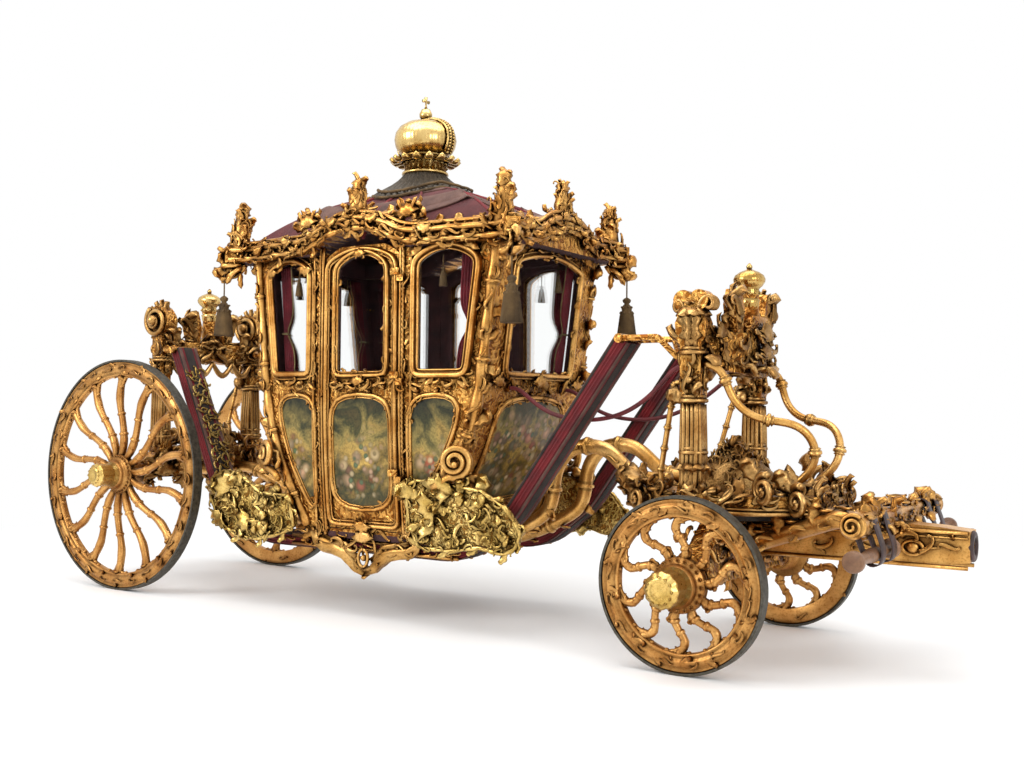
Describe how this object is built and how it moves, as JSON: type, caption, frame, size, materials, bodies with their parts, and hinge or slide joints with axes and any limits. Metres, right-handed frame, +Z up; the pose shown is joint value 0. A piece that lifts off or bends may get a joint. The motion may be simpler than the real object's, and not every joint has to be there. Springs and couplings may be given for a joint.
{
  "type": "state coach",
  "caption": "Gilded horse-drawn state coach with a glazed cabin hung on wide straps between carved standards, a domed roof with a crown, a turning fore-carriage and opening doors.",
  "frame": {"origin": "on the ground under the middle of the coach's length and width", "axes": "+X towards the front, along the pole; +Y to the coach's left; +Z up"},
  "size_m": [6.5898, 2.1, 3.51],
  "materials": {
    "gilded_wood": "carved and gilded, satin",
    "gilt_bronze": "polished and gilded",
    "painted_panel": "painted and varnished",
    "grey_iron": "worn, matt",
    "dark_iron": "forged, matt",
    "crimson_velvet": "pile fabric",
    "dark_strap": "leather covered with velvet and braid",
    "bullion": "metal thread fringe",
    "silk_cord": "twisted cord",
    "lining": "velvet upholstery",
    "window_glass": "clear",
    "harness_leather": "dark, waxed",
    "pewter_cloth": "pleated, dull"
  },
  "bodies": {
    "coach": {"back_cushions": "lining", "benches": "painted_panel", "corner_posts": "gilded_wood", "cornice": "gilded_wood", "curtains": "crimson_velvet", "door_pendants": "gilt_bronze", "finials": "gilt_bronze", "fixed_glass": "window_glass", "floor": "painted_panel", "fore_platform": "gilded_wood", "front_cross_beam": "gilded_wood", "front_standards": "gilded_wood", "front_wall": "gilded_wood", "guard_rods": "gilded_wood", "perches": "gilded_wood", "platform_mound": "gilded_wood", "rear_axle": "gilded_wood", "rear_bed": "gilded_wood", "rear_cross_beam": "gilded_wood", "rear_platform": "gilded_wood", "rear_standards": "gilded_wood", "rear_wall": "gilded_wood", "roof": "crimson_velvet", "roof_cone": "pewter_cloth", "roof_crown": "gilt_bronze", "seat_cushions": "lining", "side_wall_left": "gilded_wood", "side_wall_right": "gilded_wood", "standard_stays": "gilded_wood", "strap_hangers": "gilded_wood", "strap_shells": "gilded_wood", "straps": "dark_strap", "sway_cord_left": "silk_cord", "sway_cord_right": "silk_cord", "tassel_cords": "silk_cord", "tassels": "bullion", "turntable_upper": "dark_iron"},
    "fore_carriage": {"turntable_lower": "dark_iron", "front_bed": "gilded_wood", "front_axle": "gilded_wood", "pole_housing": "gilded_wood", "splinter_bar": "gilded_wood", "futchells": "gilded_wood", "swingletrees": "gilded_wood", "trace_loops": "harness_leather"},
    "wheel_front_left": {"wheel_front_left": "gilded_wood", "tyre_front_left": "grey_iron"},
    "wheel_front_right": {"wheel_front_right": "gilded_wood", "tyre_front_right": "grey_iron"},
    "wheel_rear_left": {"wheel_rear_left": "gilded_wood", "tyre_rear_left": "grey_iron"},
    "wheel_rear_right": {"wheel_rear_right": "gilded_wood", "tyre_rear_right": "grey_iron"},
    "door_left": {"door_left": "gilded_wood", "door_glass_left": "window_glass"},
    "door_right": {"door_right": "gilded_wood", "door_glass_right": "window_glass"}
  },
  "joints": [
    {"name": "steering", "type": "hinge", "parent": "coach", "child": "fore_carriage", "pos_m": [2.04, 0, 0.6], "axis": [0, 0, 1], "range_deg": [-75, 75]},
    {"name": "rear_wheel_right_turn", "type": "hinge", "parent": "coach", "child": "wheel_rear_right", "pos_m": [-2.45, -0.79, 0.845], "axis": [0, 1, 0], "continuous": true},
    {"name": "front_wheel_right_turn", "type": "hinge", "parent": "fore_carriage", "child": "wheel_front_right", "pos_m": [2.04, -0.79, 0.455], "axis": [0, 1, 0], "continuous": true},
    {"name": "rear_wheel_left_turn", "type": "hinge", "parent": "coach", "child": "wheel_rear_left", "pos_m": [-2.45, 0.79, 0.845], "axis": [0, 1, 0], "continuous": true},
    {"name": "front_wheel_left_turn", "type": "hinge", "parent": "fore_carriage", "child": "wheel_front_left", "pos_m": [2.04, 0.79, 0.455], "axis": [0, 1, 0], "continuous": true},
    {"name": "door_right_open", "type": "hinge", "parent": "coach", "child": "door_right", "pos_m": [0.058, -0.665, 1], "axis": [0, 0, 1], "range_deg": [0, 85]},
    {"name": "door_left_open", "type": "hinge", "parent": "coach", "child": "door_left", "pos_m": [0.058, 0.665, 1], "axis": [0, 0, -1], "range_deg": [0, 85]}
  ]
}
